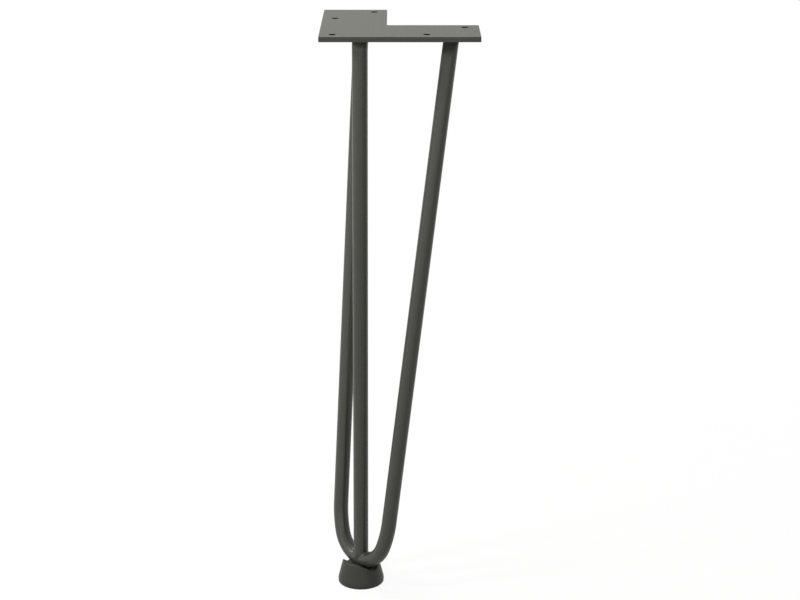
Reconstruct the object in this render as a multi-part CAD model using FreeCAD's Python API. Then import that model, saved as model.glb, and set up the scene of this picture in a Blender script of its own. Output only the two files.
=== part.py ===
import FreeCAD, Part
import math
import os

# A three-bar hairpin table leg: an L-shaped screw plate, a bent hairpin bar, a straight corner bar and
# a turned foot. Millimetres. The origin is on the corner bar's axis at the plate's top face, the arms of
# the plate run along +X and +Y, and the leg hangs down to its foot at z = -leg_height.

# Overall
leg_height = 455.0
bar_diameter = 12.0

# Mounting plate
arm_length = 120.0
arm_width = 50.0
plate_thickness = 4.0
plate_corner_radius = 0.8
plate_edge_break = 0.3
screw_hole_diameter = 5.5
hole_edge_distance = 10.0
middle_hole_end_distance = 40.0
end_hole_end_distance = 11.0

# Where the bars stand, measured from the plate's two outer edges and from each arm's end
bar_inset = 30.0
hairpin_end_distance = 21.0
toe_inset = 28.2

# Hairpin bend, on the bar's centre line
toe_radius = 25.0
shoulder_radius = 86.0
toe_turn = 70.8
toe_height = 19.5

# Corner bar's lower end, above the bend's centre line
cope_height = 1.5

# Foot
foot_base_radius = 18.6
foot_top_radius = 14.6
foot_height = 18.7
foot_rim_height = 2.5
foot_shoulder_radius = 8.0
foot_edge_break = 0.6
trough_floor_height = 14.0
trough_slope = 27.0

# Fillet welds under the plate
weld_leg = 2.5
weld_toe = 0.3

bar_radius = bar_diameter / 2
plate_underside = -plate_thickness
floor_level = -leg_height
outer_edge = -bar_inset
toe = FreeCAD.Vector(toe_inset - bar_inset, toe_inset - bar_inset, floor_level + toe_height)


def point(x, y, z):
    return FreeCAD.Vector(x, y, z)


def box(low, high):
    size = high - low
    return Part.makeBox(size.x, size.y, size.z, low)


def below_plate(reach=600.0):
    """Everything under the plate's underside, for trimming the bars and welds flush with it."""
    return box(point(-reach, -reach, -reach), point(reach, reach, plate_underside))


def only_solid(shape):
    """The largest solid of a shape that should hold one."""
    return max(shape.Solids, key=lambda solid: solid.Volume)


def from_outer_corner(along_x, along_y):
    return point(outer_edge + along_x, outer_edge + along_y, 0)


def mounting_plate():
    """The L cut from flat stock, with five screw holes and lightly broken edges."""
    steps = [
        (0, 0),
        (arm_length, 0),
        (arm_length, arm_width),
        (arm_width, arm_width),
        (arm_width, arm_length),
        (0, arm_length),
    ]
    corners = [from_outer_corner(x, y) + point(0, 0, plate_underside) for x, y in steps]
    face = Part.Face(Part.makePolygon(corners + corners[:1]))
    plate = face.extrude(point(0, 0, plate_thickness))
    upright = [edge for edge in plate.Edges if edge.BoundBox.ZLength > plate_thickness / 2]
    plate = plate.makeFillet(plate_corner_radius, upright)
    rim = [edge for edge in plate.Edges if edge.BoundBox.ZLength < plate_edge_break]
    plate = plate.makeChamfer(plate_edge_break, rim)
    for centre in hole_centres():
        start = centre - point(0, 0, 2 * plate_thickness)
        drill = Part.makeCylinder(screw_hole_diameter / 2, 3 * plate_thickness, start)
        plate = plate.cut(drill)
    return only_solid(plate)


def hole_centres():
    """One hole by the corner, one along each outer edge, and one by each arm's end, on its inner side."""
    near = hole_edge_distance
    inner = arm_width - hole_edge_distance
    middle = arm_length - middle_hole_end_distance
    end = arm_length - end_hole_end_distance
    steps = [
        (near, near),
        (middle, near),
        (near, middle),
        (end, inner),
        (inner, end),
    ]
    return [from_outer_corner(x, y) for x, y in steps]


def hairpin_frame():
    """Unit vectors across and up the bend's plane, its half width at the plate and its height."""
    reach = arm_length - hairpin_end_distance
    right_top = from_outer_corner(reach, bar_inset) + point(0, 0, plate_underside)
    left_top = from_outer_corner(bar_inset, reach) + point(0, 0, plate_underside)
    across = right_top - left_top
    up = (right_top + left_top) * 0.5 - toe
    half_width = across.Length / 2
    rise = up.Length
    return across.normalize(), up.normalize(), half_width, rise


def half_splay(half_width, rise):
    """The straight legs' lean in the bend's plane, found by halving, so that they end at the plate."""
    def miss(lean):
        shoulder = shoulder_end(lean)
        return shoulder[0] + (rise - shoulder[1]) * math.tan(lean) - half_width
    low, high = -0.2, 0.5
    for _ in range(60):
        middle = (low + high) / 2
        if miss(middle) > 0:
            high = middle
        else:
            low = middle
    return (low + high) / 2


def toe_arc(angle):
    """A point on the tight toe arc after turning by angle, from its lowest point."""
    return toe_radius * math.sin(angle), toe_radius * (1 - math.cos(angle))


def shoulder_arc(angle):
    """A point on the wider shoulder arc, which carries on from the toe arc at toe_turn."""
    start = math.radians(toe_turn)
    across, up = toe_arc(start)
    return (
        across + shoulder_radius * (math.sin(angle) - math.sin(start)),
        up + shoulder_radius * (math.cos(start) - math.cos(angle)),
    )


def shoulder_end(lean):
    return shoulder_arc(math.pi / 2 - lean)


def hairpin_bar():
    """One round bar: leg, shoulder, toe, shoulder and leg, trimmed flush with the plate."""
    across, up, half_width, rise = hairpin_frame()
    lean = half_splay(half_width, rise)
    overshoot = 2 * bar_diameter

    def on_plane(spot, side):
        return toe + across * (side * spot[0]) + up * spot[1]

    turn = math.radians(toe_turn)
    last = math.pi / 2 - lean
    half_path = [toe_arc(turn / 2), toe_arc(turn), shoulder_arc((turn + last) / 2), shoulder_end(lean)]
    top = (half_width + overshoot * math.sin(lean), rise + overshoot * math.cos(lean))
    left = [on_plane(spot, -1) for spot in half_path]
    right = [on_plane(spot, 1) for spot in half_path]
    path = Part.Wire([
        Part.makeLine(on_plane(top, -1), left[3]),
        Part.Arc(left[3], left[2], left[1]).toShape(),
        Part.Arc(left[1], toe, right[1]).toShape(),
        Part.Arc(right[1], right[2], right[3]).toShape(),
        Part.makeLine(right[3], on_plane(top, 1)),
    ])
    start = on_plane(top, -1)
    heading = left[3] - start
    section = Part.Wire([Part.makeCircle(bar_radius, start, heading)])
    bar = path.makePipeShell([section], True, False)
    return only_solid(bar.common(below_plate()))


def corner_bar(hairpin):
    """The straight bar, flush with the plate above and coped over the bend below."""
    axis = toe - point(0, 0, 0)
    direction = FreeCAD.Vector(axis).normalize()
    start = direction * -bar_diameter
    length = axis.Length + bar_diameter - cope_height
    bar = Part.makeCylinder(bar_radius, length, start, direction)
    return only_solid(bar.common(below_plate()).cut(hairpin))


def foot_outline():
    """Half the foot's section: a short upright rim, a round shoulder and a taper tangent to it."""
    bottom = point(foot_base_radius - foot_edge_break, 0, 0)
    edge = point(foot_base_radius, 0, foot_edge_break)
    rim = point(foot_base_radius, 0, foot_rim_height)
    top = point(foot_top_radius, 0, foot_height)
    hub = rim - point(foot_shoulder_radius, 0, 0)
    to_top = top - hub
    taper = math.atan2(to_top.z, to_top.x) - math.acos(foot_shoulder_radius / to_top.Length)
    spokes = [point(math.cos(turn), 0, math.sin(turn)) for turn in (taper / 2, taper)]
    shoulder = [hub + spoke * foot_shoulder_radius for spoke in spokes]
    return Part.Wire([
        Part.makeLine(point(0, 0, 0), bottom),
        Part.makeLine(bottom, edge),
        Part.makeLine(edge, rim),
        Part.Arc(rim, shoulder[0], shoulder[1]).toShape(),
        Part.makeLine(shoulder[1], top),
        Part.makeLine(top, point(0, 0, foot_height)),
        Part.makeLine(point(0, 0, foot_height), point(0, 0, 0)),
    ])


def foot(hairpin):
    """The turned foot with a wide trough across its top, seated to the underside of the bend."""
    centre = point(toe.x, toe.y, floor_level)
    body = Part.Face(foot_outline()).revolve(point(0, 0, 0), point(0, 0, 1), 360)
    body = only_solid(body.cut(trough()))
    body.translate(centre)
    return only_solid(body.cut(hairpin))


def trough():
    """The space cut across the foot's top: a floor as round as the bar, opening out at an even slope."""
    slope = math.radians(trough_slope)
    reach = 2 * foot_base_radius
    floor_edge = bar_radius * math.sin(slope)
    floor_edge_height = trough_floor_height + bar_radius * (1 - math.cos(slope))
    wall_height = floor_edge_height + (reach - floor_edge) * math.tan(slope)
    left_floor = point(-floor_edge, 0, floor_edge_height)
    right_floor = point(floor_edge, 0, floor_edge_height)
    left_top = point(-reach, 0, wall_height)
    right_top = point(reach, 0, wall_height)
    section = Part.Face(Part.Wire([
        Part.Arc(left_floor, point(0, 0, trough_floor_height), right_floor).toShape(),
        Part.makeLine(right_floor, right_top),
        Part.makeLine(right_top, left_top),
        Part.makeLine(left_top, left_floor),
    ]))
    section.translate(point(0, -reach, 0))
    space = section.extrude(point(0, 2 * reach, 0))
    space.rotate(point(0, 0, 0), point(0, 0, 1), 45)
    return space


def plate_weld(top, low):
    """The fillet weld round a bar that runs from low up to top on the plate's underside."""
    upward = (top - low).normalize()
    overshoot = bar_diameter
    start = top - upward * weld_leg
    throat = bar_radius + weld_toe
    bead = Part.makeCone(throat, throat + weld_leg + overshoot, weld_leg + overshoot, start, upward)
    bar = Part.makeCylinder(bar_radius, 4 * overshoot, top - upward * (2 * overshoot), upward)
    return only_solid(bead.common(below_plate()).cut(bar))


def hairpin_weld(side):
    """The weld round one leg of the hairpin bar; side is 1 on the X arm and -1 on the Y arm."""
    across, up, half_width, rise = hairpin_frame()
    lean = half_splay(half_width, rise)
    top = toe + across * (side * half_width) + up * rise
    low = top - across * (side * math.sin(lean)) - up * math.cos(lean)
    return plate_weld(top, low)


def corner_weld():
    direction = FreeCAD.Vector(toe).normalize()
    top = direction * (plate_underside / direction.z)
    return plate_weld(top, top + direction)


hairpin = hairpin_bar()
parts = {
    "mounting_plate": mounting_plate(),
    "hairpin_bar": hairpin,
    "corner_bar": corner_bar(hairpin),
    "foot": foot(hairpin),
    "corner_bar_weld": corner_weld(),
    "hairpin_x_arm_weld": hairpin_weld(1),
    "hairpin_y_arm_weld": hairpin_weld(-1),
}

os.makedirs("parts", exist_ok=True)
for name, solid in parts.items():
    solid.exportStep("parts/" + name + ".step")
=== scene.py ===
import math

import bpy
import numpy as np
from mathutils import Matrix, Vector


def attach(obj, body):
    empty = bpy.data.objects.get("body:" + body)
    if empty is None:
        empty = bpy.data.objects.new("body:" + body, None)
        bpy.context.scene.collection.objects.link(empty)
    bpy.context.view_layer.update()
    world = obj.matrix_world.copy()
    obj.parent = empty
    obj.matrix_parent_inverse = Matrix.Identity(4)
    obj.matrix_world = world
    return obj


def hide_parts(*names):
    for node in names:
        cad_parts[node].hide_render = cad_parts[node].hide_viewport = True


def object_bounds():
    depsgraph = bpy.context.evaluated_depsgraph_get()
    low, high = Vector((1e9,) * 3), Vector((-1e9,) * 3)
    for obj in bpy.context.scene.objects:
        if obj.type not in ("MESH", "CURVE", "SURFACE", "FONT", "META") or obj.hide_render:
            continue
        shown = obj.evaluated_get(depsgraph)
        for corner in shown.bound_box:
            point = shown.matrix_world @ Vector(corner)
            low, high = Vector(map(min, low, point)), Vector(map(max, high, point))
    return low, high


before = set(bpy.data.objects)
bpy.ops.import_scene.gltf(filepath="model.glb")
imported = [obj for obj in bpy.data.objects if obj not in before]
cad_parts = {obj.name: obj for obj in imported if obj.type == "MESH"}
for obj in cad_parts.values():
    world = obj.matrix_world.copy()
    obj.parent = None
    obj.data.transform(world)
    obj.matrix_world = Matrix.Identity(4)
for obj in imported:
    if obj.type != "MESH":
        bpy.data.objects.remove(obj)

cad_box = [list(corner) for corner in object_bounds()]

# Camera. A long lens stands a little above the plate and looks slightly down at the leg, square to the
# plate's X arm. The picture is taken to be 800 by 600, and the lens has no shift.
photo_width = 800
focal_pixels = 1886.4
camera_place = (0.03016, -1.40522, 0.24986)
camera_dip = math.radians(18.236)
camera_data = bpy.data.cameras.new("camera")
camera_data.sensor_width = 36.0
camera_data.lens = focal_pixels * camera_data.sensor_width / photo_width
camera_data.clip_start = 0.01
camera_data.clip_end = 60.0
camera = bpy.data.objects.new("camera", camera_data)
camera.location = camera_place
camera.rotation_euler = (math.pi / 2 - camera_dip, 0.0, 0.0)
bpy.context.scene.collection.objects.link(camera)
bpy.context.scene.camera = camera
bpy.context.scene.view_settings.view_transform = "Standard"

# Studio. A white sweep: the world is white to the camera and in reflections, and a soft grey light. A large
# box hangs over and behind the leg, and low ones in front and on the left light the bars up to the plate. A
# small one high on the left puts the glint on the bend, and a weak one on the right gives the far edge.
plain_white = (1.0, 1.0, 1.0, 1.0)
sky_tint = (1.0, 1.0, 0.98, 1.0)
sky_strength = 0.2


def feed(tree, value, socket):
    """Links an output socket to an input socket, or sets the input to a plain value."""
    if isinstance(value, bpy.types.NodeSocket):
        tree.links.new(value, socket)
    else:
        socket.default_value = value


def maths(tree, kind, first, second):
    """A sum, product or comparison of two values, as the kind of math node says."""
    node = tree.nodes.new("ShaderNodeMath")
    node.operation = kind
    feed(tree, first, node.inputs[0])
    feed(tree, second, node.inputs[1])
    return node.outputs["Value"]


def background_rays(tree):
    """1 for camera, glossy and transmission rays, which see the white background, and 0 for all others."""
    path = tree.nodes.new("ShaderNodeLightPath")
    seen_or_mirrored = maths(tree, "MAXIMUM", path.outputs["Is Camera Ray"], path.outputs["Is Glossy Ray"])
    return maths(tree, "MAXIMUM", seen_or_mirrored, path.outputs["Is Transmission Ray"])


def plain_shader(tree, kind, colour, strength=None):
    """A shader of one colour, with a strength where the kind glows."""
    node = tree.nodes.new(kind)
    node.inputs["Color"].default_value = colour
    if strength is not None:
        node.inputs["Strength"].default_value = strength
    return node.outputs[0]


def shader_mix(tree, share, first, second):
    """A mix of two shaders: the first where share is 0 and the second where it is 1."""
    mix = tree.nodes.new("ShaderNodeMixShader")
    tree.links.new(share, mix.inputs["Fac"])
    tree.links.new(first, mix.inputs[1])
    tree.links.new(second, mix.inputs[2])
    return mix.outputs["Shader"]


world = bpy.data.worlds.new("studio")
bpy.context.scene.world = world
world.use_nodes = True
sky = world.node_tree
sky.nodes.clear()
sky_light = plain_shader(sky, "ShaderNodeBackground", sky_tint, sky_strength)
sky_seen = plain_shader(sky, "ShaderNodeBackground", plain_white, 1.0)
sky_out = sky.nodes.new("ShaderNodeOutputWorld")
sky.links.new(shader_mix(sky, background_rays(sky), sky_light, sky_seen), sky_out.inputs["Surface"])


def soft_box(name, place, aim, width, height, power, colour=(1.0, 1.0, 1.0)):
    """A rectangular area lamp at place that faces aim, both in metres, with its power in watts."""
    data = bpy.data.lights.new(name, "AREA")
    data.shape = "RECTANGLE"
    data.size = width
    data.size_y = height
    data.energy = power
    data.color = colour
    lamp = bpy.data.objects.new(name, data)
    lamp.location = place
    lamp.rotation_euler = (Vector(aim) - Vector(place)).to_track_quat("-Z", "Y").to_euler()
    bpy.context.scene.collection.objects.link(lamp)


soft_box("overhead_box", place=(-0.38, 0.42, 1.25), aim=(0.0, 0.0, -0.1), width=0.8, height=1.0, power=24.6,
         colour=(1.0, 1.0, 0.955))
soft_box("front_box", place=(0.0, -2.2, -0.3), aim=(0.0, 0.0, -0.22), width=4.2, height=0.7, power=21.8)
soft_box("left_box", place=(-1.6, -0.62, -0.15), aim=(0.0, 0.0, -0.2), width=1.4, height=1.0, power=6.4)
soft_box("glint_box", place=(-1.12, -0.32, 0.68), aim=(0.0, 0.0, -0.43), width=0.2, height=0.2, power=9.4)
soft_box("right_box", place=(1.3, 0.5, -0.1), aim=(0.0, 0.0, -0.2), width=0.4, height=1.2, power=1.0)

# Floor. White paper under the leg, which burns out to plain white away from the foot. It can be looked
# through from below and where the foot stands on it, so that the underside of the leg can be seen.
millimetre = 0.001
bar_inset = 30.0 * millimetre
toe_inset = 28.2 * millimetre
foot_offset = toe_inset - bar_inset
floor_level = cad_box[0][2]
floor_reach = 6.0
stood_on_radius = 17.8 * millimetre
burn_start = 0.15
burn_end = 0.8
burn_at_foot = 0.9
paper_grey = (0.93, 0.93, 0.93, 1.0)
paper_bounce_grey = (0.22, 0.22, 0.22, 1.0)


def distance_from(tree, place, centre):
    """How far the points that a socket gives lie from a fixed centre."""
    node = tree.nodes.new("ShaderNodeVectorMath")
    node.operation = "DISTANCE"
    tree.links.new(place, node.inputs[0])
    node.inputs[1].default_value = centre
    return node.outputs["Value"]


def smooth_step(tree, value, start, end, low=0.0, high=1.0):
    """A value that eases from low to high while the given one goes from start to end."""
    node = tree.nodes.new("ShaderNodeMapRange")
    node.interpolation_type = "SMOOTHSTEP"
    for name, number in (("From Min", start), ("From Max", end), ("To Min", low), ("To Max", high)):
        node.inputs[name].default_value = number
    tree.links.new(value, node.inputs["Value"])
    return node.outputs["Result"]


floor_mesh = bpy.data.meshes.new("floor")
floor_mesh.from_pydata(
    [(-floor_reach, -floor_reach, floor_level), (floor_reach, -floor_reach, floor_level),
     (floor_reach, floor_reach, floor_level), (-floor_reach, floor_reach, floor_level)],
    [], [(0, 1, 2, 3)])
floor = bpy.data.objects.new("floor", floor_mesh)
bpy.context.scene.collection.objects.link(floor)
paper = bpy.data.materials.new("white_paper")
paper.use_nodes = True
paper_tree = paper.node_tree
paper_tree.nodes.clear()
paper_place = paper_tree.nodes.new("ShaderNodeTexCoord").outputs["Object"]
from_foot = distance_from(paper_tree, paper_place, (foot_offset, foot_offset, floor_level))
burnt_out = smooth_step(paper_tree, from_foot, burn_start, burn_end, low=burn_at_foot)
paper_lit = plain_shader(paper_tree, "ShaderNodeBsdfDiffuse", paper_grey)
paper_glow = plain_shader(paper_tree, "ShaderNodeEmission", plain_white, 1.0)
paper_seen = shader_mix(paper_tree, burnt_out, paper_lit, paper_glow)
paper_bounce = plain_shader(paper_tree, "ShaderNodeBsdfDiffuse", paper_bounce_grey)
paper_shown = shader_mix(paper_tree, background_rays(paper_tree), paper_bounce, paper_seen)
stood_on = maths(paper_tree, "LESS_THAN", from_foot, stood_on_radius)
paper_behind = paper_tree.nodes.new("ShaderNodeNewGeometry").outputs["Backfacing"]
see_through = maths(paper_tree, "MAXIMUM", stood_on, paper_behind)
paper_clear = plain_shader(paper_tree, "ShaderNodeBsdfTransparent", plain_white)
paper_out = paper_tree.nodes.new("ShaderNodeOutputMaterial")
paper_skin = shader_mix(paper_tree, see_through, paper_shown, paper_clear)
paper_tree.links.new(paper_skin, paper_out.inputs["Surface"])
floor_mesh.materials.append(paper)

# Mounting plate. An L laser-cut from 4 mm steel sheet, with its arrises broken and five holes for wood
# screws. It is powder-coated after welding, a satin warm grey with a little orange peel.
arm_length = 120.0 * millimetre
arm_width = 50.0 * millimetre
hole_edge_distance = 10.0 * millimetre
middle_hole_end_distance = 40.0 * millimetre
end_hole_end_distance = 11.0 * millimetre
bore_radius = 2.75 * millimetre
bore_shade_start = bore_radius + 0.25 * millimetre
bore_shade_full = bore_radius + 0.10 * millimetre
steel_grey = (0.056, 0.057, 0.047, 1.0)
steel_grey_light = (0.066, 0.067, 0.056, 1.0)
# Painted shade: the bores' walls and a thin rim round each hole are coloured near black, as if in shade.
bore_painted_shade_grey = (0.012, 0.012, 0.011, 1.0)
flat = (1.0, 1.0, 0.0)
coat_ior = 1.36
roughness_wander = 0.16
speckle_share = 0.35


def noise(tree, place, lumps_per_metre, detail):
    """Fractal noise from 0 to 1 at the points that a socket gives, with finer layers as detail says."""
    node = tree.nodes.new("ShaderNodeTexNoise")
    node.inputs["Scale"].default_value = lumps_per_metre
    node.inputs["Detail"].default_value = detail
    tree.links.new(place, node.inputs["Vector"])
    return node.outputs["Fac"]


def colour_mix(tree, share, first, second):
    """A mix of two colours: the first where share is 0 and the second where it is 1."""
    mix = tree.nodes.new("ShaderNodeMix")
    mix.data_type = "RGBA"
    feed(tree, share, mix.inputs["Factor"])
    feed(tree, first, mix.inputs["A"])
    feed(tree, second, mix.inputs["B"])
    return mix.outputs["Result"]


def powder_coat_group():
    """Powder coat by Object coordinates in metres: broad cloudy tone, fine speckle and orange-peel height.

    Tone is a mix of two greys by cloud and speckle. Roughness is a base value plus a share of the peel less
    its mean. Height sums orange peel about 2 mm across and a share of the speckle, about 0.5 mm across.
    """
    group = bpy.data.node_groups.new("powder_coat", "ShaderNodeTree")
    face = group.interface
    face.new_socket("Dark", in_out="INPUT", socket_type="NodeSocketColor")
    face.new_socket("Light", in_out="INPUT", socket_type="NodeSocketColor")
    face.new_socket("Base Roughness", in_out="INPUT", socket_type="NodeSocketFloat")
    face.new_socket("Color", in_out="OUTPUT", socket_type="NodeSocketColor")
    face.new_socket("Roughness", in_out="OUTPUT", socket_type="NodeSocketFloat")
    face.new_socket("Height", in_out="OUTPUT", socket_type="NodeSocketFloat")
    given = group.nodes.new("NodeGroupInput").outputs
    result = group.nodes.new("NodeGroupOutput").inputs
    place = group.nodes.new("ShaderNodeTexCoord").outputs["Object"]
    cloud = noise(group, place, lumps_per_metre=38.0, detail=3.0)
    speckle = noise(group, place, lumps_per_metre=1900.0, detail=2.0)
    peel = noise(group, place, lumps_per_metre=560.0, detail=1.0)
    speckle_part = maths(group, "MULTIPLY", speckle, speckle_share)
    tone = maths(group, "ADD", maths(group, "MULTIPLY", cloud, 1.0 - speckle_share), speckle_part)
    group.links.new(colour_mix(group, tone, given["Dark"], given["Light"]), result["Color"])
    wander = maths(group, "MULTIPLY", maths(group, "SUBTRACT", peel, 0.5), roughness_wander)
    group.links.new(maths(group, "ADD", given["Base Roughness"], wander), result["Roughness"])
    group.links.new(maths(group, "ADD", peel, speckle_part), result["Height"])
    return group


powder_coat = powder_coat_group()


def bore_shade_mask_group():
    """A mask of painted shade in the screw holes by Object coordinates: 1 inside any of the five bores, 0
    elsewhere.

    It is the least distance in plan from the five centres, eased from 0 to 1 just outside the bore's wall,
    so that a thin rim of painted shade shows round each hole.
    One hole is by the corner, one along each outer edge, and one by each arm's end, on its inner side.
    """
    group = bpy.data.node_groups.new("bore_shade_mask", "ShaderNodeTree")
    group.interface.new_socket("Inside", in_out="OUTPUT", socket_type="NodeSocketFloat")
    near = hole_edge_distance - bar_inset
    inner = arm_width - hole_edge_distance - bar_inset
    middle = arm_length - middle_hole_end_distance - bar_inset
    end = arm_length - end_hole_end_distance - bar_inset
    plan = group.nodes.new("ShaderNodeVectorMath")
    plan.operation = "MULTIPLY"
    plan.inputs[1].default_value = flat
    group.links.new(group.nodes.new("ShaderNodeTexCoord").outputs["Object"], plan.inputs[0])
    least = distance_from(group, plan.outputs["Vector"], (near, near, 0.0))
    for x, y in ((middle, near), (near, middle), (end, inner), (inner, end)):
        least = maths(group, "MINIMUM", least, distance_from(group, plan.outputs["Vector"], (x, y, 0.0)))
    inside = smooth_step(group, least, bore_shade_start, bore_shade_full)
    group.links.new(inside, group.nodes.new("NodeGroupOutput").inputs["Inside"])
    return group


def coated(name, dark, light, roughness, peel_height, holes=None, hole_painted_shade=None):
    """A coated steel material: the powder-coat group feeding one Principled shader.

    Where a mask group of holes is given, the colour inside them is the hole's painted shade.
    """
    material = bpy.data.materials.new(name)
    material.use_nodes = True
    tree = material.node_tree
    tree.nodes.clear()
    coat = tree.nodes.new("ShaderNodeGroup")
    coat.node_tree = powder_coat
    coat.inputs["Dark"].default_value = dark
    coat.inputs["Light"].default_value = light
    coat.inputs["Base Roughness"].default_value = roughness
    colour = coat.outputs["Color"]
    if holes is not None:
        mask = tree.nodes.new("ShaderNodeGroup")
        mask.node_tree = holes
        colour = colour_mix(tree, mask.outputs["Inside"], colour, hole_painted_shade)
    bump = tree.nodes.new("ShaderNodeBump")
    bump.inputs["Distance"].default_value = peel_height
    bump.inputs["Strength"].default_value = 1.0
    shader = tree.nodes.new("ShaderNodeBsdfPrincipled")
    shader.inputs["IOR"].default_value = coat_ior
    out = tree.nodes.new("ShaderNodeOutputMaterial")
    tree.links.new(colour, shader.inputs["Base Color"])
    tree.links.new(coat.outputs["Roughness"], shader.inputs["Roughness"])
    tree.links.new(coat.outputs["Height"], bump.inputs["Height"])
    tree.links.new(bump.outputs["Normal"], shader.inputs["Normal"])
    tree.links.new(shader.outputs["BSDF"], out.inputs["Surface"])
    return material


plate_coat = coated("plate_coat", steel_grey, steel_grey_light, roughness=0.55, peel_height=0.09 * millimetre,
                    holes=bore_shade_mask_group(), hole_painted_shade=bore_painted_shade_grey)
plate = bpy.data.objects["mounting_plate"]
for slot in plate.material_slots:
    slot.material = plate_coat

# Hairpin bar. One length of 12 mm round steel bar, bent cold round a former: a tight toe, an easier shoulder
# on each side and two long straight legs that splay up to the plate. Its ends are cut flush with the plate's
# underside.
leg_height = 455.0 * millimetre
plate_underside = -4.0 * millimetre
bar_radius = 6.0 * millimetre
toe_height = 19.5 * millimetre
toe_bend = 25.0 * millimetre
toe_turn = math.radians(70.8)
shoulder_bend = 86.0 * millimetre
hairpin_end_distance = 21.0 * millimetre
hairpin_reach = arm_length - hairpin_end_distance - bar_inset
toe_point = np.array([foot_offset, foot_offset, toe_height - leg_height])
x_arm_top = np.array([hairpin_reach, 0.0, plate_underside])
y_arm_top = np.array([0.0, hairpin_reach, plate_underside])


def unit(vectors):
    """Vectors divided by their own lengths."""
    return vectors / np.linalg.norm(vectors, axis=-1, keepdims=True)


across = unit(x_arm_top - y_arm_top)
half_width = np.linalg.norm(x_arm_top - y_arm_top) / 2
upward = unit((x_arm_top + y_arm_top) / 2 - toe_point)
rise = np.linalg.norm((x_arm_top + y_arm_top) / 2 - toe_point)
sideways = np.cross(across, upward)


def halve(still_low, low, high, rounds=40):
    """Where a test turns from true to false between low and high, for one value or for an array of them.

    Each round tests the middle of the span and keeps the half in which the test turns.
    """
    for _ in range(rounds):
        middle = (low + high) / 2
        passed = still_low(middle)
        low = np.where(passed, middle, low)
        high = np.where(passed, high, middle)
    return (low + high) / 2


def bends_end(lean):
    """How far along the half hairpin its bends end: each bend's radius times its turn."""
    return toe_bend * toe_turn + shoulder_bend * (math.pi / 2 - lean - toe_turn)


def leg_line(distance, lean):
    """The half hairpin's centre line in its own plane at a distance along it from the toe.

    Returns the sideways place, the height and the heading. The heading grows by distance over toe_bend to
    toe_turn, then by distance over shoulder_bend until it is upright less the lean, and then stays. Each bend
    adds its radius times the heading's gain in sine to the place, and times its loss in cosine to the height.
    The straight leg adds its length along the last heading.
    """
    upright = math.pi / 2 - lean
    past_toe = distance - toe_bend * toe_turn
    heading = np.where(past_toe < 0, distance / toe_bend, toe_turn + past_toe / shoulder_bend)
    heading = np.minimum(heading, upright)
    in_toe = np.minimum(heading, toe_turn)
    in_shoulder = np.maximum(heading, toe_turn)
    straight = np.maximum(distance - bends_end(lean), 0.0)
    side = toe_bend * np.sin(in_toe) + shoulder_bend * (np.sin(in_shoulder) - math.sin(toe_turn))
    height = toe_bend * (1 - np.cos(in_toe)) + shoulder_bend * (math.cos(toe_turn) - np.cos(in_shoulder))
    return side + straight * math.cos(upright), height + straight * math.sin(upright), heading


def within_width(lean):
    """Whether straight legs of this lean reach the plate inside the half width."""
    side, height, _ = leg_line(bends_end(lean), lean)
    return side + (rise - height) * math.tan(lean) <= half_width


leg_lean = float(halve(within_width, low=-0.2, high=0.5, rounds=50))


def hairpin_skin():
    """The hairpin's surface: circles of bar_radius square to the centre line, from plate to plate.

    The half line's points, closest in the toe, are mirrored in the toe's middle. The points of the two end
    circles slide along the bar onto the plate's underside.
    """
    leg_start = bends_end(leg_lean)
    leg_end = leg_start + (rise - leg_line(leg_start, leg_lean)[1]) / math.cos(leg_lean)
    half = np.concatenate([
        np.linspace(0.0, toe_bend * toe_turn, num=30),
        np.linspace(toe_bend * toe_turn, leg_start, num=16)[1:],
        np.linspace(leg_start, leg_end, num=24)[1:],
    ])
    distance = np.concatenate([-half[:0:-1], half])
    mirror = np.where(distance < 0, -1.0, 1.0)
    side, height, heading = leg_line(np.abs(distance), leg_lean)
    centre_line = toe_point + (mirror * side)[:, None] * across + height[:, None] * upward
    tangent = np.cos(heading)[:, None] * across + (mirror * np.sin(heading))[:, None] * upward
    inward = np.cross(sideways, tangent)
    turns = np.linspace(2 * math.pi, 0.0, num=64, endpoint=False)[:, None]
    spoke = np.cos(turns) * sideways + np.sin(turns) * inward[:, None, :]
    skin = centre_line[:, None, :] + bar_radius * spoke
    for end in (0, -1):
        slide = (plate_underside - skin[end, :, 2]) / tangent[end, 2]
        skin[end] += slide[:, None] * tangent[end]
    return skin


def surface(name, points, capped=True):
    """A mesh from a grid of points, rows along the piece and columns round it, as smooth-shaded quads.

    points has the shape (rows, columns, 3), and the columns join up. Capped, each end row is closed by a fan
    round its mean. Otherwise the last row joins the first, as on a ring.
    """
    rows, columns, _ = points.shape
    index = np.arange(rows * columns).reshape(rows, columns)
    after = np.roll(index, -1, axis=1)
    quads = np.stack([index, after, np.roll(after, -1, axis=0), np.roll(index, -1, axis=0)], axis=-1)
    vertices = points.reshape(-1, 3)
    if capped:
        first_centre = np.full(columns, len(vertices))
        last_centre = first_centre + 1
        vertices = np.vstack([vertices, points[0].mean(axis=0), points[-1].mean(axis=0)])
        faces = quads[:-1].reshape(-1, 4).tolist()
        faces += np.stack([after[0], index[0], first_centre], axis=-1).tolist()
        faces += np.stack([index[-1], after[-1], last_centre], axis=-1).tolist()
    else:
        faces = quads.reshape(-1, 4).tolist()
    mesh = bpy.data.meshes.new(name)
    mesh.from_pydata(vertices.tolist(), [], faces)
    mesh.polygons.foreach_set("use_smooth", np.ones(len(mesh.polygons), dtype=bool))
    mesh.update()
    piece = bpy.data.objects.new(name, mesh)
    bpy.context.scene.collection.objects.link(piece)
    return piece


hairpin = surface("hairpin", hairpin_skin())
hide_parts("hairpin_bar")
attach(hairpin, "root")
bar_coat = coated("bar_coat", steel_grey, steel_grey_light, roughness=0.32, peel_height=0.03 * millimetre)
hairpin.data.materials.append(bar_coat)

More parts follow.
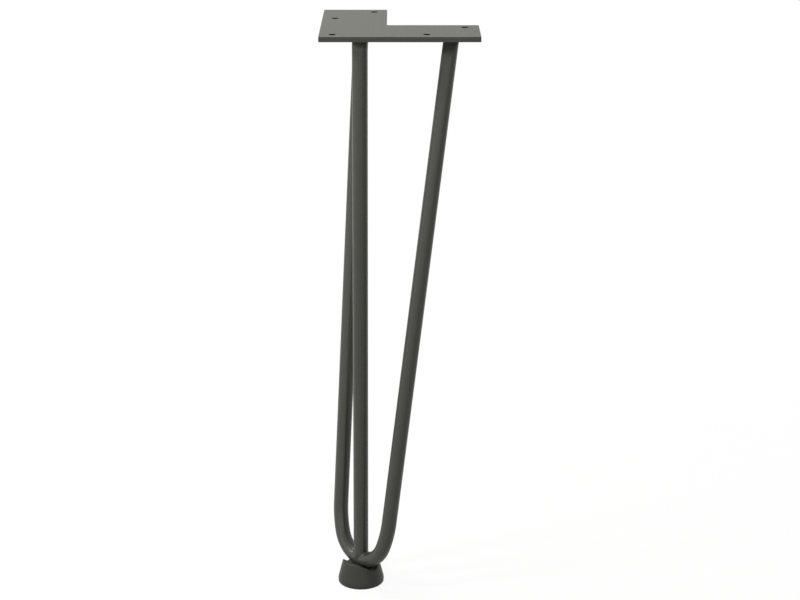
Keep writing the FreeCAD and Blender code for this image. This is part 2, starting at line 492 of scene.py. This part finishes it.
# Corner bar. A straight length of the same bar, flush under the plate's corner. Its lower end is coped over
# the middle of the bend and welded there. The weld is ground to a small smooth fillet that runs out on the
# bend.
cope_height = 1.5 * millimetre
cope_search = 4 * bar_radius
fillet_reach = 1.7 * millimetre
run_out_reach = 0.6 * millimetre
run_out_depth = 0.08 * millimetre
corner_length = np.linalg.norm(toe_point)
corner_axis = toe_point / corner_length
corner_side = unit(sideways - corner_axis * sideways.dot(corner_axis))
corner_front = np.cross(corner_axis, corner_side)


def nearest_on_bend(points):
    """The nearest points on the toe bend's centre line, a circle of toe_bend in the hairpin's plane."""
    local = points - toe_point
    plane_side = local @ across
    plane_up = local @ upward - toe_bend
    reach = np.hypot(plane_side, plane_up)
    around = (plane_side / reach)[..., None] * across + (plane_up / reach)[..., None] * upward
    return toe_point + toe_bend * (upward + around)


def off_bend(points):
    """How far points lie from the toe bend's centre line."""
    return np.linalg.norm(points - nearest_on_bend(points), axis=-1)


def onto_bend(points, radius):
    """Points moved straight to or from the toe bend's centre line until they are a radius off it."""
    line = nearest_on_bend(points)
    return line + radius * unit(points - line)


def corner_skin():
    """The corner bar's surface: straight lines down from the plate, a fillet onto the bend, and its run-out.

    Each line meets the bend's skin at its crook, found by halving. The fillet is a quadratic curve from one
    reach above the crook to one reach beyond it on the bend, with the crook as its middle point. The last row
    lies a little farther out and just inside the bend, so that no edge shows.
    """
    turns = np.linspace(0.0, 2 * math.pi, num=128, endpoint=False)[:, None]
    spoke = np.cos(turns) * corner_side + np.sin(turns) * corner_front
    rim = bar_radius * spoke
    top = rim + ((plate_underside - rim[:, 2:]) / corner_axis[2]) * corner_axis
    crook_depth = halve(
        lambda depth: off_bend(rim + depth * corner_axis)[:, None] > bar_radius,
        low=np.full(turns.shape, corner_length - cope_search),
        high=np.full(turns.shape, corner_length - cope_height))
    crook = rim + crook_depth * corner_axis
    fillet_start = crook - fillet_reach * corner_axis
    fillet_end = onto_bend(crook + fillet_reach * spoke, bar_radius)
    run_out = onto_bend(fillet_end + run_out_reach * spoke, bar_radius - run_out_depth)
    down = np.linspace(0.0, 1.0, num=40)[:, None, None]
    over = np.linspace(0.0, 1.0, num=14)[1:, None, None]
    straight = top * (1 - down) + fillet_start * down
    fillet = (1 - over) ** 2 * fillet_start + 2 * over * (1 - over) * crook + over ** 2 * fillet_end
    return np.concatenate([straight, fillet, run_out[None]])


corner = surface("corner", corner_skin())
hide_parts("corner_bar")
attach(corner, "root")
corner.data.materials.append(bar_coat)

# Foot. A small steel foot turned from bar: a short upright rim, a round shoulder and a taper, with a wide
# trough milled across its top. The bend sits in the trough, and the coat rounds the lips and fills the joint
# a little.
foot_base = 18.6 * millimetre
foot_top = 14.6 * millimetre
foot_height = 19.4 * millimetre
foot_rim = 2.5 * millimetre
foot_shoulder = 8.0 * millimetre
trough_floor = 13.7 * millimetre
trough_slope = math.radians(31.5)
trough_fall = 0.10
trough_reach = 10.5 * millimetre
lip_round = 0.6 * millimetre
base_round = 1.0 * millimetre
joint_fill = 1.6 * millimetre
heart_height = 7.0 * millimetre
foot_centre = np.array([foot_offset, foot_offset, floor_level])
# Painted shade: the foot's greys are darker than the bars', standing in for the shade it sits in low by the
# floor under the bend.
foot_painted_shade_grey = (0.025, 0.026, 0.021, 1.0)
foot_painted_shade_grey_light = (0.031, 0.032, 0.026, 1.0)


def blend(first, second, width):
    """The rounding where two distances are within width of each other.

    It is a quarter of the width times the square of their nearness, which goes from 1 where they are equal to
    0 where they are a width apart.
    """
    near = np.maximum(width - np.abs(first - second), 0.0) / width
    return near * near * width / 4


def blunt(first, second, width):
    """The lesser of two distances, rounded off where they are within width of each other."""
    return np.minimum(first, second) - blend(first, second, width)


def foot_depth(points):
    """How deep points lie inside the foot: the blunted least depth under its side, trough, top and base.

    The side is the rim's radius, then the shoulder's arc, then a straight taper, less the distance from the
    axis. The trough is an arc as round as the bar that opens into even slopes. Behind the middle its floor
    falls away by a share of the distance, and less so up the slopes. Where the depth is near the depth inside
    the bend's bar, a little is added for the coat that fills the joint.
    """
    east, north, above_floor = np.moveaxis(points - foot_centre, -1, 0)
    hub = foot_base - foot_shoulder
    to_top = (foot_top - hub, foot_height - foot_rim)
    taper = math.atan2(to_top[1], to_top[0]) - math.acos(foot_shoulder / math.hypot(*to_top))
    shoulder_height = foot_shoulder * math.sin(taper)
    on_shoulder = np.clip(above_floor - foot_rim, 0.0, shoulder_height)
    on_taper = np.maximum(above_floor - foot_rim - shoulder_height, 0.0)
    side_radius = hub + np.sqrt(foot_shoulder ** 2 - on_shoulder ** 2) - on_taper * math.tan(taper)
    off_middle = np.abs(east + north) / math.sqrt(2)
    in_arc = np.minimum(off_middle, bar_radius * math.sin(trough_slope))
    behind = np.maximum(north - east, 0.0) / math.sqrt(2)
    fall = trough_fall * behind * np.maximum(1.0 - off_middle / trough_reach, 0.0)
    arc_rise = bar_radius - np.sqrt(bar_radius ** 2 - in_arc ** 2)
    trough = trough_floor - fall + arc_rise + (off_middle - in_arc) * math.tan(trough_slope)
    under_trough = (trough - above_floor) * math.cos(trough_slope)
    top_depth = blunt(under_trough, foot_height - above_floor, lip_round)
    side_depth = side_radius - np.hypot(east, north)
    depth = blunt(blunt(side_depth, top_depth, lip_round), above_floor, base_round)
    return depth + blend(depth, bar_radius - off_bend(points), joint_fill)


def foot_skin():
    """The foot's surface: on each ray from its heart, the point at which the depth falls to nothing.

    The rays' tilts go from nearly straight up to nearly straight down, in bands of start, end and step in
    degrees, finest at the lips and at the base's edge. The point is found by halving.
    """
    bands = (
        (88.0, 62.0, 2.0),
        (62.0, 20.0, 0.6),
        (20.0, -14.0, 2.0),
        (-14.0, -30.0, 0.5),
        (-30.0, -89.0, 4.0),
    )
    tilt = np.radians(np.concatenate([np.arange(start, end, -step) for start, end, step in bands]))[:, None]
    turns = np.linspace(0.0, 2 * math.pi, num=200, endpoint=False)
    upright = np.sin(tilt) * np.ones(len(turns))
    rays = np.stack([np.cos(tilt) * np.cos(turns), np.cos(tilt) * np.sin(turns), upright], axis=-1)
    heart = foot_centre + np.array([0.0, 0.0, heart_height])
    reach = halve(
        lambda distance: foot_depth(heart + distance * rays)[..., None] > 0,
        low=np.full(rays.shape[:2] + (1,), 2.0 * millimetre),
        high=np.full(rays.shape[:2] + (1,), 30.0 * millimetre))
    return heart + reach * rays


foot = surface("turned_foot", foot_skin()[::-1])
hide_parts("foot")
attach(foot, "root")
foot_shaded_coat = coated("foot_shaded_coat", foot_painted_shade_grey, foot_painted_shade_grey_light, roughness=0.50, peel_height=0.08 * millimetre)
foot.data.materials.append(foot_shaded_coat)

# Welds. Three fillet beads under the plate, one round each bar's end, laid in one pass with the torch's
# ripples left in them and coated with the rest.
weld_leg = 2.5 * millimetre
weld_bulge = 0.32 * millimetre
weld_root = 0.3 * millimetre
toe_sink = 0.02 * millimetre
slow_wander = 0.05
quick_wander = 0.03
ripple_count = 27
ripple_height = 0.16 * millimetre
ripple_bend = 1.1
ripple_lean = 0.7
weld_coat = coated("weld_coat", steel_grey, steel_grey_light, roughness=0.45, peel_height=0.06 * millimetre)


def bead_skin(top, up_bar, turn_start):
    """A bead round a bar that meets the plate's underside at top and points up along up_bar.

    Each turn holds a section from a point on the underside, a weld leg out from the bar, over a bulging curve
    to a point on the bar a leg below the plate. The leg wanders by a sine with three waves round the bar and
    a smaller one with eight. Crescent ripples ride on the bulge: a cosine of the turn, bent back in
    mid-section and leant over by its own sine. The section closes through the steel behind it.
    """
    turns = np.linspace(0.0, 2 * math.pi, num=432, endpoint=False)[:, None] + turn_start
    any_way_off = np.array([0.3, 1.0, 0.2])
    first_out = unit(np.cross(up_bar, any_way_off))
    spoke = np.cos(turns) * first_out + np.sin(turns) * np.cross(up_bar, first_out)
    root = top + bar_radius * spoke
    root = root + (plate_underside - root[:, 2:]) / up_bar[2] * up_bar
    level = unit(spoke * flat)
    leg = weld_leg * (1.0 + slow_wander * np.sin(3 * turns + 0.7) + quick_wander * np.sin(8 * turns))
    on_plate = root + leg * level + np.array([0.0, 0.0, toe_sink])
    on_bar = root - leg * up_bar - toe_sink * spoke
    over = np.linspace(0.0, 1.0, num=16)[:, None, None]
    phase = ripple_count * (turns - turn_start) + 2 * math.pi * ripple_bend * over * (1 - over)
    crest = 0.5 + 0.5 * np.cos(phase + ripple_lean * np.sin(phase))
    height = 4 * over * (1 - over) * (weld_bulge + ripple_height * crest)
    face = on_plate * (1 - over) + on_bar * over + height * unit(spoke - up_bar)
    hidden = root - weld_root * spoke + weld_root * up_bar
    return np.concatenate([hidden[None], face[::-1]])


x_arm_way = upward * math.cos(leg_lean) + across * math.sin(leg_lean)
y_arm_way = upward * math.cos(leg_lean) - across * math.sin(leg_lean)
corner_at_plate = corner_axis * (plate_underside / corner_axis[2])
for name, replaced, top, up_bar, turn_start in (
        ("x_arm_bead", "hairpin_x_arm_weld", x_arm_top, x_arm_way, 0.4),
        ("y_arm_bead", "hairpin_y_arm_weld", y_arm_top, y_arm_way, 2.1),
        ("corner_bead", "corner_bar_weld", corner_at_plate, -corner_axis, 3.6)):
    bead = surface(name, bead_skin(top, up_bar, turn_start), capped=False)
    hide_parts(replaced)
    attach(bead, "root")
    bead.data.materials.append(weld_coat)
